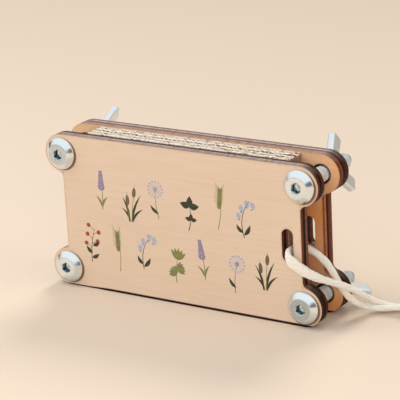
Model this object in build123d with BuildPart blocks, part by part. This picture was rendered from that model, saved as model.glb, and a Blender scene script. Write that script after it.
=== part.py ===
"""Small flower press: two plywood boards, four furniture bolts with wing nuts, a stack of
blotting papers and corrugated cards between the boards, and a tied cotton hanging cord.

Millimetres. +X runs along the boards, +Y from the front board to the back one, +Z up.
The origin is on the table, under the middle of the press without its cord.
"""
from build123d import *
import os
from math import asin, cos, degrees, floor, pi, radians, sin, tan

os.makedirs("parts", exist_ok=True)

# Boards
bolt_spacing_x = 142.0
ear_radius = 10.25
ear_fillet = 3.2
front_board_thickness = 6.5
back_board_thickness = 9.4
bolt_hole_diameter = 9.4
slot_width = 6.4
slot_length = 17.0
slot_strip_width = 4.6

# Bolts
bolt_diameter = 8.0
bolt_length = 50.0
bolt_tip_length = 4.0
bolt_tip_diameter = 3.4
head_diameter = 17.0
head_height = 3.8
head_rim_height = 1.2
head_face_diameter = 11.4
hex_across_flats = 5.0
hex_depth = 3.4

# Wing nuts. Each nut's angle is the turn of its wings from upright towards +X, in degrees
thread_clearance = 0.05
hub_base_diameter = 13.6
hub_top_diameter = 11.0
hub_height = 8.0
wing_span = 31.2
wing_end_span = 25.0
wing_height = 15.4
wing_thickness = 4.0
wing_tip_width = 5.6
wing_corner_radius = 2.0
wing_root_radius = 3.4
wing_root_reach = 4.5
wing_root_height = 5.0
wing_edge_fillet = 1.3
bore_chamfer = 0.6
top_left_nut_angle = 21.0
top_right_nut_angle = -20.5
bottom_left_nut_angle = -106.0
bottom_right_nut_angle = 110.0

# Sheets. The boards stand past them by the margin, above and below
sheet_width = 120.0
sheet_height = 82.0
sheet_margin = 0.5
sheet_clearance = 0.01
sheet_stagger = 0.4
card_thickness = 2.0
card_count = 4
liner_thickness = 0.2
flute_wall = 0.18
flute_pitch = 2.75
flute_angle = 60.0
paper_thickness = 0.45
papers_between_cards = 4
papers_outside_cards = 2
stagger_shares = (0.2, -0.6, 0.9, -0.3, 0.5, -1.0, 0.0, 0.7, -0.8, 0.4)

# Cord and knot
cord_diameter = 3.6
bend_run_share = 0.45
slot_meeting_share = 0.44
knot_length = 15.0
knot_diameter = 13.0
knot_end_diameter = 10.6
knot_table_gap = 0.1
tail_length = 13.0

# Places that follow from the sizes above
board_height = sheet_height + 2 * sheet_margin
bolt_spacing_z = board_height - 2 * ear_radius
bolt_low_z = ear_radius
bolt_high_z = ear_radius + bolt_spacing_z
bolt_x = bolt_spacing_x / 2
slot_x = bolt_x - slot_strip_width - slot_width / 2
front_face_y = (head_height - bolt_length) / 2
sheets_front_y = front_face_y + front_board_thickness
bolt_places = {
    "top_left": (-bolt_x, bolt_high_z, top_left_nut_angle),
    "top_right": (bolt_x, bolt_high_z, top_right_nut_angle),
    "bottom_left": (-bolt_x, bolt_low_z, bottom_left_nut_angle),
    "bottom_right": (bolt_x, bolt_low_z, bottom_right_nut_angle),
}

# The cord's route from the knot, over the front board's end, through its slot, and back
# past the inner side to the knot
front_route = [
    (124.0, 14.6, 5.2),
    (117.4, 14.6, 5.2),
    (111.2, 16.6, 2.9),
    (104.0, 16.6, 1.9),
    (96.8, 15.0, 2.4),
    (91.6, 10.8, 5.4),
    (89.7, 3.0, 11.2),
    (87.2, -5.5, 17.3),
    (83.0, -13.9, 22.0),
    (77.2, -21.5, 26.6),
    (70.9, -26.5, 31.9),
    (63.2, -26.7, 37.6),
]
back_route = [
    (63.2, -11.9, 38.2),
    (71.2, -10.3, 35.2),
    (76.2, -7.9, 29.6),
    (79.6, -5.9, 22.4),
    (82.5, -4.1, 15.2),
    (86.0, -0.9, 8.4),
    (90.0, 4.7, 4.0),
    (95.6, 9.4, 2.1),
    (103.0, 11.9, 3.0),
    (110.6, 11.6, 4.2),
    (117.4, 9.8, 5.2),
    (124.0, 9.8, 5.2),
]


def save(piece, name):
    """Labels a finished piece and writes its file."""
    piece.label = name
    export_step(piece, f"parts/{name}.step")


def board(front_y, thickness):
    """A plywood board with bolt ears at its corners, bolt holes and a strap slot."""
    mid_z = board_height / 2
    with BuildPart() as plate:
        with BuildSketch(Plane.XZ.offset(-front_y)):
            with Locations((0, mid_z)):
                Rectangle(bolt_spacing_x, board_height)
                with GridLocations(bolt_spacing_x, bolt_spacing_z, 2, 2):
                    Circle(ear_radius)
            necks = [
                (side * bolt_x, z)
                for side in (-1, 1)
                for z in (bolt_low_z + ear_radius, bolt_high_z - ear_radius)
            ]
            neck_corners = [
                min(vertices(), key=lambda v: abs(v.X - x) + abs(v.Y - z)) for x, z in necks
            ]
            fillet(neck_corners, ear_fillet)
            with Locations((0, mid_z)):
                with GridLocations(bolt_spacing_x, bolt_spacing_z, 2, 2):
                    Circle(bolt_hole_diameter / 2, mode=Mode.SUBTRACT)
            with Locations((slot_x, mid_z)):
                SlotOverall(slot_length, slot_width, rotation=90, mode=Mode.SUBTRACT)
        extrude(amount=-thickness)
    return plate.part


def connector_bolt(x, z):
    """A furniture bolt along +Y with a bevelled head against the front board and a tapered end."""
    tip_y = front_face_y + bolt_length
    shank_radius = bolt_diameter / 2
    outline = [
        (x, front_face_y - head_height),
        (x + head_face_diameter / 2, front_face_y - head_height),
        (x + head_diameter / 2, front_face_y - head_rim_height),
        (x + head_diameter / 2, front_face_y),
        (x + shank_radius, front_face_y),
        (x + shank_radius, tip_y - bolt_tip_length),
        (x + bolt_tip_diameter / 2, tip_y),
        (x, tip_y),
    ]
    with BuildPart() as bolt:
        with BuildSketch(Plane.XY.offset(z)):
            with BuildLine():
                Polyline(*outline, close=True)
            make_face()
        revolve(axis=Axis((x, front_face_y, z), (0, 1, 0)))
        with BuildSketch(Plane.XZ.offset(head_height - front_face_y)):
            with Locations((x, z)):
                RegularPolygon(hex_across_flats / 2, 6, major_radius=False)
        extrude(amount=-hex_depth, mode=Mode.SUBTRACT)
    return bolt.part


def wing_nut(x, z, turn, seat_y):
    """A cast wing nut that sits on the back board, with its wings turned from upright."""
    across = Vector(sin(radians(turn)), 0, cos(radians(turn)))
    seat = Plane(origin=(x, seat_y, z), x_dir=across, z_dir=(0, 1, 0))
    upright = Plane(origin=(x, seat_y, z), x_dir=across, z_dir=across.cross(Vector(0, 1, 0)))
    bore_radius = bolt_diameter / 2 + thread_clearance
    tip_corner = (wing_span / 2 - wing_corner_radius, wing_height - wing_tip_width + wing_corner_radius)
    end_corner = (wing_end_span / 2 - wing_corner_radius, wing_height - wing_corner_radius)
    with BuildPart() as nut:
        for side in (-1, 1):
            with BuildSketch(upright):
                with Locations((side * wing_root_reach, wing_root_height)):
                    Circle(wing_root_radius)
                with Locations(*[(side * reach, height) for reach, height in (tip_corner, end_corner)]):
                    Circle(wing_corner_radius)
                make_hull()
            extrude(amount=wing_thickness / 2, both=True)
        fillet(edges(), wing_edge_fillet)
        with BuildSketch(seat):
            Circle(hub_base_diameter / 2)
        with BuildSketch(seat.offset(hub_height)):
            Circle(hub_top_diameter / 2)
        loft()
        with BuildSketch(seat):
            Circle(bore_radius)
        extrude(amount=wing_height, mode=Mode.SUBTRACT)
        with BuildSketch(seat):
            Circle(bore_radius + bore_chamfer)
        with BuildSketch(seat.offset(bore_chamfer)):
            Circle(bore_radius)
        loft(mode=Mode.SUBTRACT)
    return nut.part


def stagger(index):
    """How far a sheet of the loose stack is shifted along and up, from its place in the stack."""
    along = stagger_shares[index % len(stagger_shares)]
    up = stagger_shares[(index + card_count) % len(stagger_shares)]
    return sheet_stagger * along, sheet_stagger * up


def corrugated_card(index, front_y):
    """A fluted card whose flutes stand upright, so that their ends show along its top edge."""
    shift_x, shift_z = stagger(index)
    cell_height = card_thickness - 2 * liner_thickness - flute_wall
    slope = tan(radians(flute_angle))
    wall_across = flute_wall / sin(radians(flute_angle))
    cell_base = flute_pitch / 2 - wall_across + (flute_wall + cell_height) / slope
    cell_count = floor((sheet_width - 2 * liner_thickness) / flute_pitch)
    mid_y = front_y + card_thickness / 2
    with BuildPart() as card:
        with BuildSketch(Plane.XY.offset(sheet_margin + shift_z)):
            with Locations((shift_x, mid_y)):
                Rectangle(sheet_width, card_thickness)
            with Locations((shift_x, mid_y - flute_wall / 2)):
                with GridLocations(flute_pitch, card_thickness, cell_count, 1):
                    Trapezoid(cell_base, cell_height, flute_angle, mode=Mode.SUBTRACT)
            with Locations((shift_x, mid_y + flute_wall / 2)):
                with GridLocations(flute_pitch, card_thickness, cell_count - 1, 1):
                    Trapezoid(cell_base, cell_height, flute_angle, rotation=180, mode=Mode.SUBTRACT)
        extrude(amount=sheet_height)
    return card.part


def blotting_paper(index, front_y):
    """A plain sheet of thick blotting paper."""
    shift_x, shift_z = stagger(index)
    with BuildPart() as paper:
        with BuildSketch(Plane.XY.offset(sheet_margin + shift_z)):
            with Locations((shift_x, front_y + paper_thickness / 2)):
                Rectangle(sheet_width, paper_thickness)
        extrude(amount=sheet_height)
    return paper.part


def bend_radii(points):
    """The arc at each inner point of a route, as large as its two runs allow."""
    radii = []
    for before, at, after in zip(points, points[1:], points[2:]):
        shorter = min((at - before).length, (after - at).length)
        turn = (at - before).get_angle(after - at)
        radii.append(bend_run_share * shorter / tan(radians(turn / 2)))
    return radii


def strand(points, radii, name):
    """A tube of cord along straight runs that are joined by tangent arcs."""
    with BuildPart() as tube:
        with BuildLine():
            path = FilletPolyline(*points, radius=radii)
        with BuildSketch(Plane(origin=path @ 0, z_dir=path % 0)):
            Circle(cord_diameter / 2)
        sweep()
    full_volume = pi * cord_diameter**2 / 4 * path.length
    print(name, "length", round(path.length, 1), "radii", [round(r, 1) for r in radii])
    print(name, "volume", round(tube.part.volume, 1), "section times length", round(full_volume, 1))
    return tube.part


def knot(front_end, back_end):
    """An overhand knot that takes both ends of the cord on one side and lets two tails out."""
    start_x = front_end.X
    end_x = start_x + knot_length
    mid_y = (front_end.Y + back_end.Y) / 2
    mid_z = knot_diameter / 2 + knot_table_gap
    end_radius = knot_end_diameter / 2
    drop = degrees(asin((front_end.Z - cord_diameter / 2 - knot_table_gap) / tail_length))
    tail_way = (cos(radians(drop)), 0, -sin(radians(drop)))
    with BuildPart() as body:
        with BuildSketch(Plane.XY.offset(mid_z)):
            with BuildLine():
                Polyline(
                    (end_x, mid_y + end_radius),
                    (end_x, mid_y),
                    (start_x, mid_y),
                    (start_x, mid_y + end_radius),
                )
                ThreePointArc(
                    (start_x, mid_y + end_radius),
                    ((start_x + end_x) / 2, mid_y + knot_diameter / 2),
                    (end_x, mid_y + end_radius),
                )
            make_face()
        revolve(axis=Axis((start_x, mid_y, mid_z), (1, 0, 0)))
        for tail in (front_end, back_end):
            with BuildSketch(Plane(origin=(end_x - cord_diameter / 2, tail.Y, tail.Z), z_dir=tail_way)):
                Circle(cord_diameter / 2)
            extrude(amount=tail_length)
    return body.part


save(board(front_face_y, front_board_thickness), "front_board")

layers = []
for position in range(card_count):
    layers += ["paper"] * (papers_between_cards if position else papers_outside_cards) + ["card"]
layers += ["paper"] * papers_outside_cards
sheet_front_y = sheets_front_y + sheet_clearance
sheet_numbers = {"paper": 0, "card": 0}
for position, kind in enumerate(layers):
    sheet_numbers[kind] += 1
    if kind == "card":
        save(corrugated_card(position, sheet_front_y), f"card_{sheet_numbers[kind]}")
        sheet_front_y += card_thickness + sheet_clearance
    else:
        save(blotting_paper(position, sheet_front_y), f"paper_{sheet_numbers[kind]}")
        sheet_front_y += paper_thickness + sheet_clearance

back_board_y = sheet_front_y
nut_seat_y = back_board_y + back_board_thickness
save(board(back_board_y, back_board_thickness), "back_board")

for place, (x, z, nut_angle) in bolt_places.items():
    save(connector_bolt(x, z), f"bolt_{place}")
    save(wing_nut(x, z, nut_angle, nut_seat_y), f"wing_nut_{place}")

cord_route = [Vector(*point) for point in front_route + back_route]
cord_radii = bend_radii(cord_route)
slot_in = cord_route[len(front_route) - 1]
slot_out = cord_route[len(front_route)]
meeting = slot_in + (slot_out - slot_in) * slot_meeting_share
front_points = cord_route[: len(front_route)] + [meeting]
back_points = [meeting] + cord_route[len(front_route) :]
front_radii = cord_radii[: len(front_route) - 1]
back_radii = cord_radii[len(front_route) - 1 :]
save(strand(front_points, front_radii, "front strand"), "strap_front_strand")
save(strand(back_points, back_radii, "back strand"), "strap_back_strand")
save(knot(cord_route[0], cord_route[-1]), "strap_knot")
print("gap between the boards", round(back_board_y - sheets_front_y, 2), "nut seat", round(nut_seat_y, 2))
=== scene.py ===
"""Looks of a small flower press: laser-cut plywood boards, zinc-plated bolts and wing nuts, a stack of
blotting papers and corrugated cards, a printed field of sprigs and a twisted cotton cord.

Metres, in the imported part's frame: +X along the boards, +Y from the front board to the back one, +Z up.
"""
import math

import bpy
import numpy as np
from mathutils import Matrix, Vector


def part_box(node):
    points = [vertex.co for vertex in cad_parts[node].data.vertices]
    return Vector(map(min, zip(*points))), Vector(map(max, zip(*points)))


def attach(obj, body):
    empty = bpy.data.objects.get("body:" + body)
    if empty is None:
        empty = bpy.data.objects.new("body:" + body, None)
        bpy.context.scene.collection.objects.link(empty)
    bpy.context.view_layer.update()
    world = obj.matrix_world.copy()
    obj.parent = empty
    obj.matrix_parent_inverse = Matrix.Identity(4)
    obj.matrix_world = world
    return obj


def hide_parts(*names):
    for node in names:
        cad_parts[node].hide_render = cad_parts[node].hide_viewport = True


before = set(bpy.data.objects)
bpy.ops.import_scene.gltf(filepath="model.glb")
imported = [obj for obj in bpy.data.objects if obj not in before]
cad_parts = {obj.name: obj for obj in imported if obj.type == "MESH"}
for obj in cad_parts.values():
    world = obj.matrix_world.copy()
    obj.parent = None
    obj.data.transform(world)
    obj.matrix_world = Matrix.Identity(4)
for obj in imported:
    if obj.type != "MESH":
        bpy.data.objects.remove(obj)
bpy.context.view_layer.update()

# Places and sizes that the frame gives
front_low, front_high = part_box("front_board")
middle_z = (front_low.z + front_high.z) / 2
half_height = (front_high.z - front_low.z) / 2
bolt_low, bolt_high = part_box("bolt_top_right")
bolt_x = (bolt_low.x + bolt_high.x) / 2
bolt_rise = (bolt_low.z + bolt_high.z) / 2 - middle_z
ear_radius = half_height - bolt_rise
head_radius = (bolt_high.x - bolt_low.x) / 2
bolt_places = {
    "top_left": (-bolt_x, middle_z + bolt_rise),
    "top_right": (bolt_x, middle_z + bolt_rise),
    "bottom_left": (-bolt_x, middle_z - bolt_rise),
    "bottom_right": (bolt_x, middle_z - bolt_rise),
}

# Slot of the hanging cord, in both boards
slot_x = 0.0632
slot_radius = 0.0032
slot_straight = 0.0053

# Marks on the boards' faces, with painted shade and painted shadows
scorch_width = 0.0022
# Reach of the smoke stain and painted shade round the slot
smoke_and_shade_reach = 0.045
# Heights of the painted contact shadow along the lower rim, and reach of the painted shade round the bolt
# holes
contact_shadow_height_left = 0.0006
contact_shadow_height = 0.00135
hole_shade_inner = 0.0004
hole_shade_outer = 0.0009
# Painted shadow of each bolt head: its shift, and how far inside and outside the head it reaches
head_shadow_shift = (0.0006, -0.0005, 0.0)
head_shadow_inner = 0.0002
head_shadow_outer = 0.0007

# Bolts and their holes
bolt_hole_radius = 0.0047
shank_radius = 0.004
head_face_radius = 0.0057
head_rim_height = 0.0012
head_edge_round = 0.0003
socket_flat = 0.0025
socket_depth = 0.0034
socket_mouth = 0.00297
socket_mouth_depth = 0.00022
socket_cone = 0.0008
thread_pitch = 0.00125
thread_depth = 0.00062
thread_start_y = -0.004
tip_length = 0.0040
tip_radius = 0.0017

# Sheets
paper_share = 0.86
paper_rag = 0.0003
card_rag = 0.0005
flute_sink = 0.0008
flute_crush = 0.14
flute_pitch = 0.00275
liner_thickness = 0.00026
sheet_bow = 0.00022

# Cord: its route as it leaves the knot, passes the front slot and comes back
cord_radius = 0.0018
cord_lay = 0.031
cord_strands = 4
front_route = [
    (0.1240, 0.0146, 0.0052),
    (0.1174, 0.0146, 0.0052),
    (0.1112, 0.0166, 0.0029),
    (0.1040, 0.0166, 0.0019),
    (0.0968, 0.0150, 0.0024),
    (0.0916, 0.0108, 0.0054),
    (0.0897, 0.0030, 0.0112),
    (0.0872, -0.0055, 0.0173),
    (0.0830, -0.0139, 0.0220),
    (0.0772, -0.0215, 0.0266),
    (0.0709, -0.0265, 0.0319),
    (0.0632, -0.0267, 0.0376),
]
back_route = [
    (0.0632, -0.0119, 0.0382),
    (0.0712, -0.0103, 0.0352),
    (0.0762, -0.0079, 0.0296),
    (0.0796, -0.0059, 0.0224),
    (0.0825, -0.0041, 0.0152),
    (0.0860, -0.0009, 0.0084),
    (0.0900, 0.0047, 0.0040),
    (0.0956, 0.0094, 0.0021),
    (0.1030, 0.0119, 0.0030),
    (0.1106, 0.0116, 0.0042),
    (0.1174, 0.0098, 0.0052),
    (0.1240, 0.0098, 0.0052),
]
slot_meeting = (0.0632, -0.0202, 0.0379)

# Knot, its tails and their frayed yarns
wrap_start = 0.0019
wrap_length = 0.0112
wrap_radius = 0.0040
wrap_turns = 1.6
tail_start = 0.0122
tail_length = 0.0085
tail_rise = 0.0008
tail_drop = 0.0034
yarn_count = 26
yarn_radius = 0.00034
yarn_length = 0.0042
yarn_uneven = 0.0014
yarn_root = 0.0006
yarn_drop = 0.0009
yarn_height = 0.0005

# Printed sprigs and the thickness of their ink
sprig_height = 0.0215
sprig_spacing = 0.0176
sprig_waver = 0.0022
ink_front = 0.00003
ink_back = 0.00002
ink_layer = 0.000004
ink_layers = 9

# Camera of the photograph, fitted to the boards' corners, the bolt heads and the slot
camera_place = (0.50505, -0.77166, 0.35291)
camera_yaw = math.radians(33.29)
camera_pitch = math.radians(18.21)
camera_roll = math.radians(-3.05)
camera_lens = 169.9

# Floor
floor_reach = 4.0
floor_z = -0.0001


def add_camera():
    """The photograph's camera: it looks along +Y, tilted down, then turned about Z and rolled."""
    data = bpy.data.cameras.new("photo_camera")
    data.lens = camera_lens
    camera = bpy.data.objects.new("photo_camera", data)
    turn = Matrix.Rotation(camera_yaw, 4, "Z")
    tilt = Matrix.Rotation(math.pi / 2 - camera_pitch, 4, "X")
    roll = Matrix.Rotation(camera_roll, 4, "Z")
    camera.matrix_world = Matrix.Translation(camera_place) @ turn @ tilt @ roll
    bpy.context.scene.collection.objects.link(camera)
    bpy.context.scene.camera = camera


def linear(code):
    """An sRGB hex colour as linear RGBA: c / 12.92 up to 0.04045, else ((c + 0.055) / 1.055) ** 2.4."""
    channels = np.array([int(code[i : i + 2], 16) for i in (1, 3, 5)]) / 255
    values = np.where(channels <= 0.04045, channels / 12.92, ((channels + 0.055) / 1.055) ** 2.4)
    return (*values.tolist(), 1.0)


def per(size):
    """Repeats per metre of a pattern whose cells have this size along X, Y and Z."""
    return tuple(1 / length for length in size)


def add(tree, kind, sources=None, **settings):
    """Adds one shader node. Settings are its properties. Sources give its live inputs, by name or number,
    a plain value, a socket, or a node whose first live output is taken."""
    made = tree.nodes.new("ShaderNode" + kind)
    for name, value in settings.items():
        setattr(made, name, value)
    live = [socket for socket in made.inputs if socket.enabled]
    for name, source in (sources or {}).items():
        socket = live[name] if isinstance(name, int) else next(s for s in live if s.name == name)
        if isinstance(source, bpy.types.Node):
            source = next(s for s in source.outputs if s.enabled)
        if isinstance(source, bpy.types.NodeSocket):
            tree.links.new(source, socket)
        else:
            socket.default_value = source
    return made


def start_material(name):
    """A new node material, its empty tree and its Object coordinates."""
    material = bpy.data.materials.new(name)
    material.use_nodes = True
    material.node_tree.nodes.clear()
    return material, material.node_tree, add(material.node_tree, "TexCoord").outputs["Object"]


def finished(material, surface):
    """The material with a surface of these inputs."""
    shader = add(material.node_tree, "BsdfPrincipled", surface)
    add(material.node_tree, "OutputMaterial", {"Surface": shader})
    return material


def from_nearest_bolt(tree, x, rise):
    """The way across the boards from the nearest bolt's axis, and its length."""
    parts = []
    for along, spacing in ((x, bolt_x), (rise, bolt_rise)):
        sign = add(tree, "Math", {0: along}, operation="SIGN")
        parts.append(add(tree, "Math", {0: sign, 1: -spacing, 2: along}, operation="MULTIPLY_ADD"))
    way = add(tree, "CombineXYZ", {"X": parts[0], "Y": parts[1]})
    return way, add(tree, "VectorMath", {0: way}, operation="LENGTH")


def board_places(tree, place):
    """Where a point lies on a board: its coordinates, its height above the middle, its way from the nearest
    bolt, and its distances past the bolts, from a bolt hole's rim, from the slot's rim and from the nearest
    cut. The outline is a rectangle and four ears, folded into one quarter."""
    x, y, z = add(tree, "SeparateXYZ", {"Vector": place}).outputs
    rise = add(tree, "Math", {0: z, 1: middle_z}, operation="SUBTRACT")
    height = add(tree, "Math", {0: rise}, operation="ABSOLUTE")
    span = add(tree, "Math", {0: x}, operation="ABSOLUTE")
    past_bolt = add(tree, "Math", {0: span, 1: bolt_x}, operation="SUBTRACT")
    from_bolt, bolt_reach = from_nearest_bolt(tree, x, rise)
    in_ear = add(tree, "Math", {0: ear_radius, 1: bolt_reach}, operation="SUBTRACT")
    under_top = add(tree, "Math", {0: half_height, 1: height}, operation="SUBTRACT")
    before_bolt = add(tree, "Math", {0: bolt_x, 1: span}, operation="SUBTRACT")
    in_middle = add(tree, "Math", {0: under_top, 1: before_bolt}, operation="MINIMUM")
    inside = add(tree, "Math", {0: in_ear, 1: in_middle}, operation="MAXIMUM")
    slot_side = add(tree, "Math", {0: x, 1: slot_x}, operation="SUBTRACT")
    slot_end = add(tree, "Math", {0: height, 1: slot_straight}, operation="SUBTRACT")
    slot_rise = add(tree, "Math", {0: slot_end, 1: 0.0}, operation="MAXIMUM")
    slot_way = add(tree, "CombineXYZ", {"X": slot_side, "Y": slot_rise})
    slot_reach = add(tree, "VectorMath", {0: slot_way}, operation="LENGTH")
    slot_rim = add(tree, "Math", {0: slot_reach, 1: slot_radius}, operation="SUBTRACT")
    hole_rim = add(tree, "Math", {0: bolt_reach, 1: bolt_hole_radius}, operation="SUBTRACT")
    opening = add(tree, "Math", {0: hole_rim, 1: slot_rim}, operation="MINIMUM")
    margin = add(tree, "Math", {0: inside, 1: opening}, operation="MINIMUM")
    return {"x": x, "y": y, "z": z, "rise": rise, "past_bolt": past_bolt, "from_bolt": from_bolt,
            "hole_rim": hole_rim, "slot_rim": slot_rim, "margin": margin}


def sanded_face(tree, place, at, pale, streak, turned_in):
    """A board's face, and its fibres. Growth lines are level lines of a noise. They and the fibres run along
    X, and the fibres are coarser than real ones so that they show. A scorched rim lies beside each cut. The
    inner face is stained orange brown by smoke and also painted with shade in that colour, most round the
    slot and, as painted shade, low down. A painted contact shadow darkens the lower rim, thinner at the left
    end, and painted shade darkens the bolt holes' rims. Each bolt head has a painted shadow, a dark ring on
    the front face, below and right of it."""
    growth_size = (0.16, 0.02, 0.012)
    fibre_size = (0.03, 0.003, 0.0007)
    cloud_size = (0.06, 0.02, 0.02)
    scorch_cell = 0.006
    growth_place = add(tree, "Mapping", {"Vector": place, "Scale": per(growth_size)})
    growth = add(tree, "TexNoise", {"Vector": growth_place, "Scale": 1.0, "Detail": 1.5})
    growth_turn = add(tree, "Math", {0: growth, 1: 75.0}, operation="MULTIPLY")
    growth_wave = add(tree, "Math", {0: growth_turn}, operation="SINE")
    growth_tone = add(tree, "MapRange", {"Value": growth_wave, "From Min": -1.0, "To Max": 0.14})
    fibre_place = add(tree, "Mapping", {"Vector": place, "Scale": per(fibre_size)})
    fibre = add(tree, "TexNoise", {"Vector": fibre_place, "Scale": 1.0, "Detail": 3.0})
    fibre_tone = add(tree, "MapRange", {"Value": fibre, "From Min": 0.35, "From Max": 0.75})
    cloud_place = add(tree, "Mapping", {"Vector": place, "Scale": per(cloud_size)})
    cloud = add(tree, "TexNoise", {"Vector": cloud_place, "Scale": 1.0, "Detail": 1.0})
    lines = add(tree, "Math", {0: fibre_tone, 1: 0.28, 2: growth_tone}, operation="MULTIPLY_ADD")
    tone = add(tree, "Math", {0: cloud, 1: 0.35, 2: lines}, operation="MULTIPLY_ADD")
    streaks = add(tree, "MapRange", {"Value": tone, "From Min": 0.05, "From Max": 0.95})

    uneven = add(tree, "TexNoise", {"Vector": place, "Scale": 1 / scorch_cell, "Detail": 2.0})
    scorch_edge = add(tree, "Math", {0: uneven, 1: scorch_width}, operation="MULTIPLY")
    scorch = add(tree, "MapRange", {"Value": at["margin"], "From Max": scorch_edge, "To Min": 0.32,
                                    "To Max": 0.0}, interpolation_type="SMOOTHSTEP")

    # Smoke stain on the inner face, with painted shade in it: most round the slot, and low down as painted
    # shade.
    smoke_and_shade_round = add(tree, "MapRange", {"Value": at["slot_rim"], "From Max": smoke_and_shade_reach, "To Min": 0.95,
                                         "To Max": 0.22})
    painted_low_shade = add(tree, "MapRange", {"Value": at["z"], "From Max": middle_z, "To Min": 1.0, "To Max": 0.22})
    smoke_and_shade_most = add(tree, "Math", {0: smoke_and_shade_round, 1: painted_low_shade}, operation="MAXIMUM")
    smoke_cloud = add(tree, "MapRange", {"Value": cloud, "From Min": 0.3, "From Max": 0.7, "To Min": 0.55,
                                         "To Max": 0.95})
    smoke_and_shade_spread = add(tree, "Math", {0: smoke_and_shade_most, 1: smoke_cloud}, operation="MULTIPLY")
    smoke_and_shade = add(tree, "Math", {0: smoke_and_shade_spread, 1: turned_in}, operation="MULTIPLY")

    # Painted contact shadow along the lower rim, thinner at the left end, and painted shade round the bolt
    # holes.
    rim = add(tree, "MapRange", {"Value": at["x"], "From Min": -0.92 * bolt_x, "From Max": -0.6 * bolt_x,
                                 "To Min": contact_shadow_height_left, "To Max": contact_shadow_height},
              interpolation_type="SMOOTHSTEP")
    rim_share = add(tree, "Math", {0: at["z"], 1: rim}, operation="DIVIDE")
    contact_shadow = add(tree, "MapRange", {"Value": rim_share, "From Min": 0.75, "From Max": 1.1, "To Min": 1.0,
                                      "To Max": 0.0})
    hole_shade = add(tree, "MapRange", {"Value": at["hole_rim"], "From Min": hole_shade_inner,
                                       "From Max": hole_shade_outer, "To Min": 0.9, "To Max": 0.0})
    painted_rim_shade = add(tree, "Math", {0: contact_shadow, 1: hole_shade}, operation="MAXIMUM")

    # Painted shadow of each bolt head: a dark ring shifted below and right of it, on the front face.
    head_shadow_way = add(tree, "VectorMath", {0: at["from_bolt"], 1: head_shadow_shift}, operation="SUBTRACT")
    head_shadow_reach = add(tree, "VectorMath", {0: head_shadow_way}, operation="LENGTH")
    ring = add(tree, "MapRange", {"Value": head_shadow_reach, "From Min": head_radius - head_shadow_inner,
                                  "From Max": head_radius + head_shadow_outer, "To Min": 0.85, "To Max": 0.0},
               interpolation_type="SMOOTHSTEP")
    on_front = add(tree, "Math", {0: at["y"], 1: front_low.y + 0.0001}, operation="LESS_THAN")
    painted_head_shadow = add(tree, "Math", {0: ring, 1: on_front}, operation="MULTIPLY")

    colour = linear(pale)
    # Grain and scorch, then the smoke stain with painted shade, painted rim shade and painted head shadows.
    layers = ((streaks, streak), (scorch, "#B9814F"), (smoke_and_shade, "#D68A45"), (painted_rim_shade, "#260F05"),
              (painted_head_shadow, "#6E4A2C"))
    for share, paint in layers:
        colour = add(tree, "Mix", {"Factor": share, "A": colour, "B": linear(paint)}, data_type="RGBA")
    return colour, fibre


def burnt_cut(tree, place, at, board, facing_z, ends, sheened_long_edges):
    """A board's laser cuts, and the soot lines on them. Each ply has its own burnt colour, from the board's
    low Y to its high Y, with dark glue lines between. The long edges, facing up and down, take paler colours
    as painted sheen and light from above, so the ends look darker. The ears, the lower ones most, and the
    bolt holes' walls are painted darkest, as painted shade."""
    soot_size = (0.0007, 0.004, 0.0007)
    ear_blend = 0.004
    bore_depth = 0.0003
    low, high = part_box(board)
    depth = add(tree, "MapRange", {"Value": at["y"], "From Min": low.y, "From Max": high.y})
    plies = []
    for colours in (ends, sheened_long_edges):
        ramp = add(tree, "ValToRGB", {"Fac": depth})
        ramp.color_ramp.interpolation = "CONSTANT"
        stops = ramp.color_ramp.elements
        while len(stops) < len(colours):
            stops.new(1.0)
        for number, colour in enumerate(colours):
            stops[number].position = number / len(colours)
            stops[number].color = linear(colour)
        plies.append(ramp)
    # Painted sheen and light from above: the long edges, facing up and down, take paler colours than the
    # ends.
    upright = add(tree, "Math", {0: facing_z}, operation="ABSOLUTE")
    sheen_share = add(tree, "MapRange", {"Value": upright, "From Min": 0.55, "From Max": 0.95})
    colour = add(tree, "Mix", {"Factor": sheen_share, "A": plies[0], "B": plies[1]}, data_type="RGBA")

    soot_place = add(tree, "Mapping", {"Vector": place, "Scale": per(soot_size)})
    soot_line = add(tree, "TexNoise", {"Vector": soot_place, "Scale": 1.0, "Detail": 2.0})
    soot = add(tree, "MapRange", {"Value": soot_line, "From Min": 0.42, "From Max": 0.72, "To Max": 0.5})

    ply = add(tree, "Math", {0: depth, 1: float(len(ends))}, operation="MULTIPLY")
    ply_share = add(tree, "Math", {0: ply}, operation="FRACT")
    from_middle = add(tree, "Math", {0: ply_share, 1: 0.5}, operation="SUBTRACT")
    to_glue = add(tree, "Math", {0: from_middle}, operation="ABSOLUTE")
    glue = add(tree, "MapRange", {"Value": to_glue, "From Min": 0.42, "From Max": 0.5, "To Max": 0.6},
               interpolation_type="SMOOTHSTEP")

    # Painted shade on the ears, darkest on the lower ones, and on the bolt holes' walls.
    upper_ear_shade = add(tree, "MapRange", {"Value": depth, "From Max": 0.35, "To Min": 0.2, "To Max": 0.65})
    is_low = add(tree, "Math", {0: at["rise"], 1: 0.0}, operation="LESS_THAN")
    ear_shade = add(tree, "Mix", {"Factor": is_low, "A": upper_ear_shade, "B": 0.78})
    ear_share = add(tree, "MapRange", {"Value": at["past_bolt"], "From Max": ear_blend})
    in_ear = add(tree, "Math", {0: ear_shade, 1: ear_share}, operation="MULTIPLY")
    bore_shade = add(tree, "Math", {0: at["hole_rim"], 1: bore_depth}, operation="LESS_THAN")
    cut_shade = add(tree, "Math", {0: in_ear, 1: bore_shade}, operation="MAXIMUM")

    # Soot and glue lines are the wood's own; the last, near black, is the painted shade.
    for share, paint in ((soot, "#2A1410"), (glue, "#1C0D09"), (cut_shade, "#1E0E09")):
        colour = add(tree, "Mix", {"Factor": share, "A": colour, "B": linear(paint)}, data_type="RGBA")
    return colour, soot_line


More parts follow.
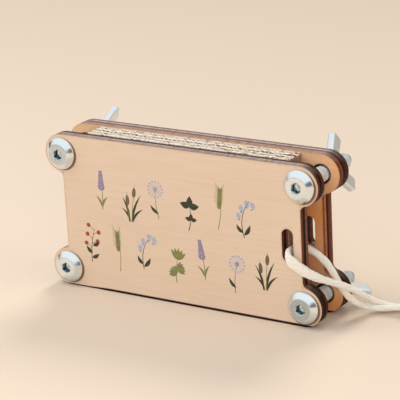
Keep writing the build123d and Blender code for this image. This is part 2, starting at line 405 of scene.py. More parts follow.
def laser_cut_plywood(name, board, pale, streak, inner, ends, sheened_long_edges):
    """Basswood plywood, sanded on its faces and cut by laser, so that it is pale and fibrous with burnt
    edges. Its inner face, towards +Y or -Y as the sign says, lay on the cutter's bed in the smoke, and also
    carries painted shade."""
    face_share = 0.7
    material, tree, place = start_material(name)
    at = board_places(tree, place)
    facing = add(tree, "NewGeometry").outputs["True Normal"]
    _, facing_y, facing_z = add(tree, "SeparateXYZ", {"Vector": facing}).outputs
    inwards = add(tree, "Math", {0: facing_y, 1: inner}, operation="MULTIPLY")
    turned_in = add(tree, "Math", {0: inwards, 1: face_share}, operation="GREATER_THAN")
    face, fibre = sanded_face(tree, place, at, pale, streak, turned_in)
    cut, soot_line = burnt_cut(tree, place, at, board, facing_z, ends, sheened_long_edges)
    across = add(tree, "Math", {0: facing_y}, operation="ABSOLUTE")
    flat = add(tree, "Math", {0: across, 1: face_share}, operation="GREATER_THAN")
    colour = add(tree, "Mix", {"Factor": flat, "A": cut, "B": face}, data_type="RGBA")
    roughness = add(tree, "MapRange", {"Value": flat, "To Min": 0.60, "To Max": 0.62})
    relief = add(tree, "Mix", {"Factor": flat, "A": soot_line, "B": fibre})
    bump = add(tree, "Bump", {"Height": relief, "Strength": 0.25, "Distance": 0.00008})
    return finished(material, {"Base Color": colour, "Roughness": roughness, "Normal": bump,
                               "Specular IOR Level": 0.08})


def clouded_gloss(tree, place, smooth, rough):
    """Clouds in a zinc plate, 3.5 mm wide, and the roughness that varies with them."""
    cloud_size = 0.0035
    cloud = add(tree, "TexNoise", {"Vector": place, "Scale": 1 / cloud_size, "Detail": 3.0})
    return cloud, add(tree, "MapRange", {"Value": cloud, "From Min": 0.3, "From Max": 0.7, "To Min": smooth,
                                         "To Max": rough})


def zinc_on_turned_steel(name):
    """Bright zinc plate with its bluish clear coat, on turned steel. The heads keep fine rings from the
    lathe, drawn 0.45 mm apart so that they show, and the flats of the two on one diagonal are painted
    darker, as a painted dimmer reflection. The plate is dusty behind the front board's face, and the hex
    sockets and the thread grooves are painted dark, as painted shade."""
    ring_size = 0.00045
    material, tree, place = start_material(name)
    x, y, z = add(tree, "SeparateXYZ", {"Vector": place}).outputs
    rise = add(tree, "Math", {0: z, 1: middle_z}, operation="SUBTRACT")
    _, reach = from_nearest_bolt(tree, x, rise)
    ring = add(tree, "TexNoise", {"W": reach, "Scale": 1 / ring_size, "Detail": 1.0}, noise_dimensions="1D")
    bump = add(tree, "Bump", {"Height": ring, "Strength": 0.06, "Distance": 0.00012})
    _, gloss = clouded_gloss(tree, place, 0.15, 0.24)
    shank = add(tree, "Math", {0: y, 1: front_low.y}, operation="GREATER_THAN")
    roughness = add(tree, "Math", {0: shank, 1: 0.3, 2: gloss}, operation="MULTIPLY_ADD")
    metal = add(tree, "MapRange", {"Value": shank, "To Min": 1.0, "To Max": 0.5})

    # Painted dimmer reflection: the head flats on one diagonal are painted darker.
    on_flat = add(tree, "Math", {0: y, 1: bolt_low.y + 0.2 * head_edge_round}, operation="LESS_THAN")
    corner = add(tree, "Math", {0: x, 1: rise}, operation="MULTIPLY")
    diagonal = add(tree, "Math", {0: corner, 1: 0.0}, operation="LESS_THAN")
    dim_reflection = add(tree, "Math", {0: on_flat, 1: diagonal}, operation="MULTIPLY")

    # Painted shade in the thread grooves.
    groove = add(tree, "MapRange", {"Value": reach, "From Min": shank_radius - thread_depth,
                                    "From Max": shank_radius, "To Min": 0.8, "To Max": 0.0})
    threaded = add(tree, "Math", {0: y, 1: thread_start_y}, operation="GREATER_THAN")
    groove_shade = add(tree, "Math", {0: groove, 1: threaded}, operation="MULTIPLY")

    # Painted shade in the hex sockets.
    from_wall = add(tree, "Math", {0: reach, 1: socket_flat}, operation="SUBTRACT")
    wall = add(tree, "Math", {0: from_wall, 1: 0.0, 2: socket_mouth - socket_flat}, operation="COMPARE")
    sunk = add(tree, "MapRange", {"Value": y, "From Min": bolt_low.y,
                                  "From Max": bolt_low.y + 0.5 * socket_depth})
    socket_shade = add(tree, "Math", {0: wall, 1: sunk}, operation="MULTIPLY")

    # Painted darker tones: a dimmer reflection on two head flats, and shade in the grooves and the sockets.
    colour = linear("#E7F0F4")
    for share, painted_dark_tone in ((dim_reflection, "#C8D2D8"), (groove_shade, "#63676A"), (socket_shade, "#7E97A0")):
        colour = add(tree, "Mix", {"Factor": share, "A": colour, "B": linear(painted_dark_tone)}, data_type="RGBA")
    return finished(material, {"Base Color": colour, "Metallic": metal, "Roughness": roughness,
                               "Normal": bump})


def zinc_on_cast_steel(name):
    """Bright zinc plate with its bluish clear coat, on cast steel, whose soft unevenness shows through it."""
    material, tree, place = start_material(name)
    cloud, roughness = clouded_gloss(tree, place, 0.32, 0.44)
    bump = add(tree, "Bump", {"Height": cloud, "Strength": 0.06, "Distance": 0.00012})
    return finished(material, {"Base Color": linear("#E8EFF3"), "Metallic": 1.0, "Roughness": roughness,
                               "Normal": bump})


def pulp_sheet(name, top, sides, clump_size):
    """Unsized paper pulp, mottled between two tones by clumps of fibres: furry on the knife's cut along the
    top, another pair of tones on the sides and the flute walls, and kraft brown where the ends were sawn.
    Brown fibres lie in it, about 4 mm long, more of them towards +X."""
    brown_size = (0.004, 0.0011, 0.0011)
    sawn = ("#BC8C6A", "#946849")
    material, tree, place = start_material(name)
    facing = add(tree, "NewGeometry").outputs["True Normal"]
    facing_x, _, facing_z = add(tree, "SeparateXYZ", {"Vector": facing}).outputs
    clump = add(tree, "TexNoise", {"Vector": place, "Scale": 1 / clump_size, "Detail": 4.0,
                                   "Roughness": 0.65})
    tone = add(tree, "MapRange", {"Value": clump, "From Min": 0.38, "From Max": 0.72})
    pulps = [add(tree, "Mix", {"Factor": tone, "A": linear(pale), "B": linear(shade)}, data_type="RGBA")
             for pale, shade in (sides, top, sawn)]
    colour = pulps[0]
    for facing_part, pulp in ((facing_z, pulps[1]), (facing_x, pulps[2])):
        turned = add(tree, "Math", {0: facing_part}, operation="ABSOLUTE")
        share = add(tree, "Math", {0: turned, 1: 0.5}, operation="GREATER_THAN")
        colour = add(tree, "Mix", {"Factor": share, "A": colour, "B": pulp}, data_type="RGBA")
    brown_place = add(tree, "Mapping", {"Vector": place, "Scale": per(brown_size)})
    brown_noise = add(tree, "TexNoise", {"Vector": brown_place, "Scale": 1.0, "Detail": 2.0})
    along = add(tree, "SeparateXYZ", {"Vector": place}).outputs["X"]
    scarce = add(tree, "MapRange", {"Value": along, "From Min": -bolt_x, "From Max": bolt_x, "To Min": 0.62,
                                    "To Max": 0.56})
    dense = add(tree, "Math", {0: scarce, 1: 0.06}, operation="ADD")
    brown = add(tree, "MapRange", {"Value": brown_noise, "From Min": scarce, "From Max": dense,
                                   "To Max": 0.85})
    flecked = add(tree, "Mix", {"Factor": brown, "A": colour, "B": linear("#8A6648")}, data_type="RGBA")
    bump = add(tree, "Bump", {"Height": clump, "Strength": 0.5, "Distance": 0.0002})
    return finished(material, {"Base Color": flecked, "Roughness": 0.92, "Normal": bump,
                               "Specular IOR Level": 0.25})


def undyed_cotton(name):
    """Loosely twisted undyed cotton: cream yarns with fine fibres along their lay, painted darker where they
    sink in, as painted shade, lumps of loose fibre about 1 mm wide, and a soft sheen of loose hairs. The
    fibres are 10 mm long, 46 of them round the cord."""
    fibres_around = 46.0
    fibre_length = 0.010
    lump_size = 0.0011
    material, tree, place = start_material(name)
    lay = add(tree, "TexCoord").outputs["UV"]
    fibre_place = add(tree, "Mapping", {"Vector": lay, "Scale": (fibres_around, 1 / fibre_length, 1.0)})
    fibre = add(tree, "TexNoise", {"Vector": fibre_place, "Scale": 1.0, "Detail": 3.0})
    # Painted shade: the sunken fibres are painted darker.
    tone = add(tree, "MapRange", {"Value": fibre, "From Min": 0.3, "From Max": 0.7})
    colour = add(tree, "Mix", {"Factor": tone, "A": linear("#F4E6D5"), "B": linear("#FFFBF2")},
                 data_type="RGBA")
    lump = add(tree, "TexNoise", {"Vector": place, "Scale": 1 / lump_size, "Detail": 2.0})
    relief = add(tree, "Math", {0: lump, 1: 1.2, 2: fibre}, operation="MULTIPLY_ADD")
    bump = add(tree, "Bump", {"Height": relief, "Strength": 0.8, "Distance": 0.0004})
    return finished(material, {"Base Color": colour, "Roughness": 0.95, "Normal": bump,
                               "Specular IOR Level": 0.2, "Sheen Weight": 0.35, "Sheen Roughness": 0.6,
                               "Subsurface Weight": 0.6, "Subsurface Radius": (1.0, 0.85, 0.7),
                               "Subsurface Scale": 0.004})


def printed_ink(name, colour, thin):
    """Ink printed on bare wood: matt, slightly sunk in, thinner on hard fibres so that the grain shows."""
    fibre_size = (0.012, 0.003, 0.0006)
    material, tree, place = start_material(name)
    fibre_place = add(tree, "Mapping", {"Vector": place, "Scale": per(fibre_size)})
    fibre = add(tree, "TexNoise", {"Vector": fibre_place, "Scale": 1.0, "Detail": 3.0})
    tone = add(tree, "MapRange", {"Value": fibre, "From Min": 0.45, "From Max": 0.75, "To Max": 0.6})
    mixed = add(tree, "Mix", {"Factor": tone, "A": linear(colour), "B": linear(thin)}, data_type="RGBA")
    return finished(material, {"Base Color": mixed, "Roughness": 0.7})


def pale_floor(name):
    """Matt paint, rolled on a studio floor, plain and pale."""
    material, _, _ = start_material(name)
    return finished(material, {"Base Color": linear("#DFCEBC"), "Roughness": 0.8, "Specular IOR Level": 0.2})


def add_piece(name, points, faces, material, body, replaced=(), sharp=None, corners=None):
    """A mesh object at the origin that rides on a body. Corners are the UV places of the faces' corners, and
    edges that bend by more than the sharp angle keep a crease."""
    mesh = bpy.data.meshes.new(name)
    mesh.from_pydata(points.tolist(), [], faces)
    mesh.polygons.foreach_set("use_smooth", np.ones(len(mesh.polygons), dtype=bool))
    if sharp is not None:
        mesh.set_sharp_from_angle(angle=math.radians(sharp))
    if corners is not None:
        mesh.uv_layers.new(name="lay").data.foreach_set("uv", corners.ravel())
    mesh.materials.append(material)
    piece = bpy.data.objects.new(name, mesh)
    bpy.context.scene.collection.objects.link(piece)
    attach(piece, body)
    if replaced:
        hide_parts(*replaced)
    return piece


def closed_tube(rings, columns):
    """Faces of a grid of rings, closed at both ends: quads (i, j), (i, j + 1), (i + 1, j + 1), (i + 1, j)
    between neighbouring rings, then the first ring and the last one."""
    ring, column = np.meshgrid(np.arange(rings - 1), np.arange(columns), indexing="ij")
    after = (column + 1) % columns
    corners = (ring * columns + column, ring * columns + after,
               (ring + 1) * columns + after, (ring + 1) * columns + column)
    quads = np.stack(corners, axis=-1).reshape(-1, 4).tolist()
    last = (rings - 1) * columns
    return quads + [list(range(columns))[::-1], list(range(last, last + columns))]


def joined(parts):
    """The points and faces of several meshes in a row."""
    starts = np.cumsum([0] + [len(part[0]) for part in parts]).tolist()
    faces = [[start + i for i in face] for start, part in zip(starts, parts) for face in part[1]]
    return np.vstack([part[0] for part in parts]), faces


def wander(x, number):
    """A line that wanders between about -1 and 1: three sines, 19, 6.3 and 2.6 mm long, which don't repeat
    together, shifted by the sheet's number."""
    lengths = ((0.36, 0.019, 1.9), (0.34, 0.0063, 2.7), (0.30, 0.0026, 4.1))
    return sum(size * np.sin(x * 2 * math.pi / length + shift * number) for size, length, shift in lengths)


def ragged_slab(x, middle_y, low_z, high_z, thickness, rag, number):
    """A sheet as a closed slab along X. Its section at each x is a ring up the front side and down the back
    one. The middle plane is y = middle_y(x), and the upper and lower edges wander in height by the rag."""
    rise_shares = np.array([0, 0.003, 0.02, 0.2, 0.5, 0.8, 0.98, 0.997, 1])
    bottom = low_z + rag * (1 + wander(x, number + 0.5))
    top = high_z - rag * (1 - wander(x, number))
    side = bottom[:, None] + (top - bottom)[:, None] * rise_shares
    z = np.hstack([side, side[:, ::-1]])
    half = np.repeat([-thickness / 2, thickness / 2], len(rise_shares))
    y = middle_y[:, None] + half
    points = np.stack([np.broadcast_to(x[:, None], z.shape), y, z], axis=-1).reshape(-1, 3)
    return points, [face[::-1] for face in closed_tube(*z.shape)]


def stack_of_sheets(paper, card):
    """The loose sheets, each in its own place, bowed in and out a little along their length, less near the
    boards. A card is two liners and a flute wall between them, y = middle + reach sin(2 pi x / pitch), whose
    waves are crushed unevenly and sunk a little below the liners' edges. Each layer has a middle plane, a
    sink, a thickness, a rag and a number of its own."""
    paper_steps = 300
    card_steps = 620
    names = [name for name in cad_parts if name.startswith(("paper_", "card_"))]
    stack_low = min(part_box(name)[0].y for name in names)
    stack_high = max(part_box(name)[1].y for name in names)
    for name in names:
        low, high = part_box(name)
        depth = high.y - low.y
        middle = (low.y + high.y) / 2
        number = (middle - stack_low) / (stack_high - stack_low)
        is_paper = name.startswith("paper_")
        x = np.linspace(low.x, high.x, paper_steps if is_paper else card_steps)
        bow = sheet_bow * math.sin(math.pi * number) * wander(x, 2.0 + 3 * number)
        if is_paper:
            layers = [(middle + bow, 0.0, paper_share * depth, paper_rag, 40 * number)]
            finish, slot = paper, "blotting_paper"
        else:
            crush = 1 - flute_crush + flute_crush * wander(x, 25 * number)
            flute = (depth / 2 - liner_thickness) * crush
            wave = np.sin(x * 2 * math.pi / flute_pitch + 0.9 * wander(0.4 * x, 31 * number))
            front = middle + bow - depth / 2 + liner_thickness / 2
            back = middle + bow + depth / 2 - liner_thickness / 2
            layers = [(front, 0.0, liner_thickness, card_rag, 50 * number),
                      (middle + bow + flute * wave, flute_sink, liner_thickness, card_rag, 60 * number),
                      (back, 0.0, liner_thickness, card_rag, 70 * number)]
            finish, slot = card, "corrugated_card"
        slabs = [ragged_slab(x, y, low.z + sink, high.z - sink, thickness, rag, shift)
                 for y, sink, thickness, rag, shift in layers]
        points, faces = joined(slabs)
        add_piece(f"{name}_sheet", points, faces, finish, f"{name}_sheet", [name], sharp=40)


def turned_bolt(axis_x, axis_z):
    """A profile of radius against distance along the bolt, carried round its axis. In the socket the radius
    follows a hexagon, flat / cos(angle from the nearest flat's middle). On the thread it drops by the depth
    times a triangle wave of y / pitch - turn / 360 degrees."""
    columns = 72
    head_y = bolt_low.y
    seat_y = front_low.y
    tip_y = bolt_high.y
    turn = np.arange(columns) * 2 * math.pi / columns
    hexagon = socket_flat / np.cos((turn + math.pi / 6) % (math.pi / 3) - math.pi / 6)
    bevel_run = head_radius - head_face_radius
    bevel_rise = seat_y - head_rim_height - head_y
    bevel = math.hypot(bevel_run, bevel_rise)
    step_x = head_edge_round * bevel_run / bevel
    step_y = head_edge_round * bevel_rise / bevel
    socket = [
        (0.02, head_y + socket_depth + socket_cone),
        (0.97, head_y + socket_depth + 0.05 * socket_cone),
        (1.0, head_y + socket_depth),
        (1.0, head_y + socket_mouth_depth),
    ]
    head = [
        (socket_mouth, head_y),
        (head_face_radius - head_edge_round, head_y),
        (head_face_radius, head_y + 0.25 * head_edge_round),
        (head_face_radius + step_x, head_y + step_y),
        (head_radius - step_x, seat_y - head_rim_height - step_y),
        (head_radius - 0.2 * head_edge_round, seat_y - head_rim_height),
        (head_radius, seat_y - head_rim_height + head_edge_round),
        (head_radius, seat_y - head_edge_round),
        (head_radius - head_edge_round, seat_y),
        (shank_radius, seat_y),
        (shank_radius, thread_start_y),
    ]
    taper_y = tip_y - tip_length
    taper = shank_radius - tip_radius
    rows_per_turn = 8
    thread_rows = int((taper_y - thread_start_y) / thread_pitch * rows_per_turn)
    thread_y = np.linspace(thread_start_y, taper_y, thread_rows + 1)[1:]
    fade = np.clip((thread_y - thread_start_y) / (2 * thread_pitch), 0, 1)
    wave = np.abs((thread_y[:, None] / thread_pitch - turn / (2 * math.pi)) % 1 * 2 - 1)
    thread = shank_radius - thread_depth * fade[:, None] * np.clip(wave * 1.25 - 0.125, 0, 1)
    tip = [
        (shank_radius - 0.48 * taper, taper_y + 0.5 * tip_length),
        (shank_radius - 0.94 * taper, tip_y - 0.06 * tip_length),
        (tip_radius - 0.2 * taper, tip_y),
        (0.02 * tip_radius, tip_y),
    ]
    radius = np.vstack(
        [share * hexagon for share, _ in socket]
        + [np.full(columns, r) for r, _ in head]
        + [thread]
        + [np.full(columns, r) for r, _ in tip]
    )
    y = np.concatenate([[y for _, y in socket], [y for _, y in head], thread_y, [y for _, y in tip]])
    across = axis_x + radius * np.cos(turn)
    up = axis_z + radius * np.sin(turn)
    points = np.stack([across, np.broadcast_to(y[:, None], radius.shape), up], axis=-1).reshape(-1, 3)
    return points, closed_tube(len(y), columns)


def smooth_route(route):
    """Points of the quadratic NURBS line that has the route's points as its control points."""
    curve = bpy.data.curves.new("cord_route", "CURVE")
    curve.dimensions = "3D"
    curve.resolution_u = 24
    spline = curve.splines.new("NURBS")
    spline.points.add(len(route) - 1)
    spline.points.foreach_set("co", np.column_stack([route, np.ones(len(route))]).ravel())
    spline.order_u = 3
    spline.use_endpoint_u = True
    holder = bpy.data.objects.new("cord_route", curve)
    mesh = bpy.data.meshes.new_from_object(holder)
    line = np.empty(len(mesh.vertices) * 3)
    mesh.vertices.foreach_get("co", line)
    bpy.data.objects.remove(holder)
    bpy.data.meshes.remove(mesh)
    bpy.data.curves.remove(curve)
    return line.reshape(-1, 3)


def reach_along(line):
    """Each point's distance along a line."""
    return np.concatenate([[0], np.cumsum(np.linalg.norm(np.diff(line, axis=0), axis=1))])


def spread_evenly(line, step):
    """The same line with points a step apart, and each point's distance along it."""
    reach = reach_along(line)
    even = np.linspace(0, reach[-1], max(2, round(reach[-1] / step)))
    return np.column_stack([np.interp(even, reach, line[:, axis]) for axis in range(3)]), even


def twisted_cord(line, distance, upright, sideways, guide, lay, strands, columns=48):
    """A cord of twisted strands along a line. Its section is the outline of the strands' circles, d cos(a) +
    sqrt(r ** 2 - (d sin(a)) ** 2) at angle a from a strand's middle, softened towards a circle, with yarns in
    each strand, uneven by the product of two waves along and around, scaled to the two half-sizes and turned
    by distance / lay. The guide vector sets which way is upright."""
    strand_share = 0.22
    yarn_share = 0.012
    loose_share = 0.035
    long_wave = 0.0119
    short_wave = 0.0067
    ahead = np.gradient(line, axis=0)
    ahead /= np.linalg.norm(ahead, axis=1)[:, None]
    up = guide - (ahead @ guide)[:, None] * ahead
    up /= np.linalg.norm(up, axis=1)[:, None]
    side = np.cross(ahead, up)
    turn = np.arange(columns) * 2 * math.pi / columns
    offset = 1 / (1 + math.sin(math.pi / strands))
    from_strand = (turn + math.pi / strands) % (2 * math.pi / strands) - math.pi / strands
    bulge = np.maximum((1 - offset) ** 2 - (offset * np.sin(from_strand)) ** 2, 0)
    outline = offset * np.cos(from_strand) + np.sqrt(bulge)
    section = 1 - strand_share + strand_share * outline + yarn_share * np.cos(turn * strands * 4)
    angle = turn + distance[:, None] * 2 * math.pi / lay
    loose = np.sin(7 * turn + distance[:, None] * 2 * math.pi / short_wave)
    loose = loose * np.sin(5 * turn - distance[:, None] * 2 * math.pi / long_wave)
    section = section + loose_share * loose
    raised = (upright[:, None] * section * np.cos(angle))[..., None] * up[:, None]
    moved = (sideways[:, None] * section * np.sin(angle))[..., None] * side[:, None]
    points = (line[:, None] + raised + moved).reshape(-1, 3)
    rings = len(line)
    ring, column = np.meshgrid(np.arange(rings - 1), np.arange(columns), indexing="ij")
    across = np.stack([column, column + 1, column + 1, column], axis=-1) / columns
    along = np.stack([distance[ring], distance[ring], distance[ring + 1], distance[ring + 1]], axis=-1)
    corners = np.vstack([np.stack([across, along], axis=-1).reshape(-1, 2), np.zeros((2 * columns, 2))])
    return points, closed_tube(rings, columns), corners


def overhand_knot(front_end, back_end):
    """The knot that ties both ends: two cords wound side by side round them on a helix, and two tails that
    drop to the table and fray into yarns, spread by the golden angle."""
    along = np.array([1.0, 0, 0])
    upwards = np.array([0, 0, 1.0])
    wrap_step = 0.0007
    golden_angle = math.pi * (3 - math.sqrt(5))
    _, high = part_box("strap_knot")
    middle = (front_end + back_end) / 2
    middle[2] = high.z / 2
    share = np.linspace(0, 1, 90)
    swell = wrap_radius * (0.80 + 0.20 * np.sin(math.pi * share))
    tubes = []
    for phase in (0.0, math.pi):
        angle = phase + share * wrap_turns * 2 * math.pi
        wrap = np.column_stack([
            front_end[0] + wrap_start + wrap_length * share,
            middle[1] + swell * np.cos(angle),
            middle[2] + swell * np.sin(angle),
        ])
        wrap, distance = spread_evenly(wrap, wrap_step)
        half = np.full(len(wrap), cord_radius)
        tubes.append(twisted_cord(wrap, distance, half, half, along, cord_lay, cord_strands, 36))
    share = np.linspace(0, 1, 24)
    flare = 1 + 0.55 * share[:, None] * np.array([0, 1, 1])
    thin = yarn_radius * (1 - 0.6 * share)
    for end in (front_end, back_end):
        tail = np.column_stack([
            end[0] + tail_start + tail_length * share,
            end[1] + (end[1] - middle[1]) * 0.35 * share,
            end[2] + tail_rise - tail_drop * share ** 1.5,
        ])
        half = cord_radius * (0.95 + 0.12 * share)
        distance = reach_along(tail)
        tubes.append(twisted_cord(tail, distance, half * 0.92, half, upwards, cord_lay, cord_strands))
        for number in range(yarn_count):
            spread = 0.85 * math.sqrt((number + 0.5) / yarn_count)
            angle = number * golden_angle
            root = cord_radius * spread * np.array([0, math.cos(angle), 0.9 * math.sin(angle)])
            reach = yarn_length + yarn_uneven * math.cos(5 * angle)
            yarn = tail[-1] + root * flare + np.outer(share * reach - yarn_root, along)
            yarn[:, 2] = np.maximum(yarn[:, 2] - yarn_drop * share ** 2, yarn_height)
            tubes.append(twisted_cord(yarn, share * reach, thin, thin, upwards, cord_lay, 3, 8))
    return *joined(tubes), np.vstack([tube[2] for tube in tubes])


def hanging_cord(material):
    """Both strands of the cord along one line, parted in the slot, and the knot at their ends. Near the slot
    the cord is pressed flat against the board, so it is taller than it is thick, and on the table it lies
    wider. Its thickness wavers along it."""
    step = 0.0006
    press_place = 0.010
    press_reach = 0.012
    press_shares = {"front": 0.75, "back": 0.10}
    rest_start = 0.035
    rest_run = 0.045
    rest_share = 0.26
    waver_length = 0.021
    waver_start = 0.010
    waver_share = 0.05
    route = smooth_route(front_route + back_route)
    parting = int(np.argmin(np.linalg.norm(route - np.array(slot_meeting), axis=1)))
    strands = {"front": route[: parting + 1][::-1], "back": route[parting:]}
    points, faces, corners = overhand_knot(route[0], route[-1])
    knot = add_piece("strap_knot_tied", points, faces, material, "frame", ["strap_knot"],
                     corners=corners)
    for which, line in strands.items():
        line, distance = spread_evenly(line, step)
        pressed = np.exp(-((distance - press_place) / press_reach) ** 2) * press_shares[which]
        resting = np.clip((distance - rest_start) / rest_run, 0, 1) * rest_share
        wave = np.sin(distance * 2 * math.pi / waver_length + 1.1)
        wavering = waver_share * wave * np.clip(distance / waver_start, 0, 1)
        upright = cord_radius * (1 + pressed - resting + wavering)
        sideways = cord_radius * (1 - 0.30 * pressed + 0.6 * resting + wavering)
        lay = cord_lay if which == "back" else -cord_lay
        points, faces, corners = twisted_cord(line, distance, upright, sideways, np.array([0, 0, 1.0]), lay,
                                              cord_strands)
        strand = add_piece(f"strap_{which}_cord", points, faces, material, "frame",
                           [f"strap_{which}_strand"], corners=corners)


def stroke(start, end, bow, width, shape):
    """Both edges of a painted stroke. Its axis is start + t (end - start) + 4 t (1 - t) bow n, with n square
    to it. Its half-width is half the width times 1 - 0.6 t on a stem, sin(pi t ** 0.8) on a leaf and
    2 sqrt(t (1 - t)) on a disc."""
    t = np.linspace(0.015, 0.985, 13)[:, None]
    start = np.array(start)
    run = np.array(end) - start
    square = np.array([-run[1], run[0]]) / np.linalg.norm(run)
    axis = start + t * run + 4 * t * (1 - t) * bow * square
    half = {"stem": 1 - 0.6 * t, "leaf": np.sin(math.pi * t**0.8), "disc": 2 * np.sqrt(t * (1 - t))}[shape]
    return axis + half * width / 2 * square, axis - half * width / 2 * square


def upright_way(degrees):
    """A unit vector at an angle from upright."""
    return np.array([math.sin(math.radians(degrees)), math.cos(math.radians(degrees))])


def leaf_at(root, degrees, length, width, bow=0.0):
    """A leaf stroke from a root, at an angle from upright."""
    return stroke(root, np.array(root) + length * upright_way(degrees), bow, width, "leaf")


def dot_at(middle, radius):
    """A round dot."""
    reach = np.array([radius, 0])
    return stroke(np.array(middle) - reach, np.array(middle) + reach, 0.0, 2 * radius, "disc")


def bulrush(tall):
    """Two bulrush heads above long blades."""
    heads = ((0.0004, 3, 0.98), (-0.0012, -7, 0.76))
    blades = ((0.0006, 17, 0.80, 0.0012), (-0.0010, -21, 0.66, -0.0012), (0.0010, 36, 0.5, 0.0014),
              (-0.0004, -40, 0.42, -0.0012))
    strokes = []
    for foot, lean, share in heads:
        way = upright_way(lean)
        root = np.array([foot, 0.0])
        low, high = root + tall * (share - 0.34) * way, root + tall * (share - 0.08) * way
        strokes.append(("olive", stroke(root, root + tall * share * way, 0.0002, 0.0004, "stem")))
        strokes.append(("brown", stroke(low, high, 0.0, 0.0022, "disc")))
    for foot, lean, share, bow in blades:
        strokes.append(("dark_green", leaf_at((foot, 0.0), lean, tall * share, 0.0013, bow)))
    return strokes


def flower_spike(tall):
    """A spike of small florets above two narrow leaves."""
    strokes = [("olive", stroke((0, 0), (0, tall * 0.95), -0.0005, 0.0005, "stem"))]
    for step in range(6):
        root = (0, tall * (0.50 + 0.085 * step))
        for side in (-1, 1):
            floret = leaf_at(root, (42 - 3 * step) * side, 0.0034 - 0.0003 * step, 0.0016)
            strokes.append(("lavender", floret))
    for side in (-1, 1):
        strokes.append(("olive", leaf_at((0, tall * 0.06), 30 * side, tall * 0.34, 0.0013, 0.0008 * side)))
    return strokes


def grass_ear(tall):
    """A nodding ear of grass with grains and fine awns."""
    strokes = [("olive", stroke((0, 0), (0.0016, tall), -0.0010, 0.0004, "stem"))]
    for step in range(7):
        root = (0.0008 + 0.0001 * step, tall * (0.52 + 0.07 * step))
        for side in (-1, 1):
            awn_end = (root[0] + 0.0026 * side, root[1] + 0.0050)
            strokes.append(("olive", leaf_at(root, 24 * side + 5, 0.0030, 0.0012)))
            strokes.append(("brown", stroke(root, awn_end, 0.0, 0.00018, "stem")))
    return strokes


def seed_globe(tall):
    """A round head of seeds on spokes."""
    middle = (0.0004, tall * 0.74)
    strokes = [("brown", stroke((0, 0), middle, 0.0008, 0.0004, "stem"))]
    for step in range(14):
        angle = step * 2 * math.pi / 14
        end = (middle[0] + 0.0042 * math.cos(angle), middle[1] + 0.0042 * math.sin(angle))
        strokes.append(("pale_blue", stroke(middle, end, 0.0, 0.0003, "stem")))
        strokes.append(("pale_blue", dot_at(end, 0.0006)))
    strokes.append(("lavender", dot_at(middle, 0.0011)))
    strokes.append(("dark_green", leaf_at((0.0002, tall * 0.14), -42, tall * 0.30, 0.0018, 0.0006)))
    return strokes


def hanging_bells(tall):
    """An arching stem with bells that hang from it."""
    bells = ((-0.0040, 0.64), (-0.0022, 0.82), (0.0012, 0.93), (0.0042, 0.88))
    strokes = [("dark_green", stroke((-0.0022, 0), (0.0038, tall * 0.92), 0.0030, 0.0005, "stem"))]
    for step, (across, height) in enumerate(bells):
        root = (across, tall * height)
        strokes.append(("pale_blue", leaf_at(root, 180 - 8 * step, 0.0042, 0.0026)))
        strokes.append(("lavender", dot_at((root[0], root[1] - 0.0038), 0.0005)))
    strokes.append(("dark_green", leaf_at((-0.0022, tall * 0.08), 38, tall * 0.32, 0.0022, -0.0006)))
    strokes.append(("dark_green", leaf_at((-0.0026, tall * 0.14), -36, tall * 0.26, 0.0020, 0.0006)))
    return strokes


def berry_twig(tall):
    """A twig with berries on short stalks and a few leaves."""
    strokes = [("brown", stroke((0, 0), (0.0006, tall * 0.9), 0.0010, 0.0005, "stem"))]
    for step in range(5):
        side = 1 if step % 2 else -1
        root = (-0.0008 + 0.0002 * step, tall * (0.36 + 0.12 * step))
        end = (root[0] + 0.0034 * side, root[1] + 0.0022)
        strokes.append(("brown", stroke(root, end, 0.0003 * side, 0.0003, "stem")))
        strokes.append(("rust", dot_at(end, 0.0012)))
    for side, height in ((1, 0.12), (-1, 0.24), (1, 0.44)):
        strokes.append(("dark_green", leaf_at((0, tall * height), 52 * side, 0.0052, 0.0021, -0.0004 * side)))
    return strokes


def fan_leaves(tall):
    """Fan-shaped leaves, each of five lobes, on a forked stem."""
    fans = ((0.0, 0.60, 4, 0.0064), (0.0002, 0.34, 62, 0.0050), (-0.0002, 0.22, -60, 0.0050))
    strokes = [("brown", stroke((0, 0), (0, tall * 0.62), 0.0006, 0.0004, "stem"))]
    for across, height, lean, length in fans:
        for lobe in range(-2, 3):
            strokes.append(("olive", leaf_at((across, tall * height), lean + 22 * lobe, length, 0.0023)))
    return strokes


def clover(tall):
    """A three-part leaf above a smaller one."""
    strokes = [("dark_green", stroke((0, 0), (0.0002, tall * 0.62), -0.0010, 0.0005, "stem"))]
    for root, length in (((0.0002, tall * 0.60), 0.0058), ((0.0012, tall * 0.28), 0.0036)):
        for degrees in (-78, 0, 78):
            strokes.append(("dark_green", leaf_at(root, degrees, length, length * 0.62)))
    return strokes


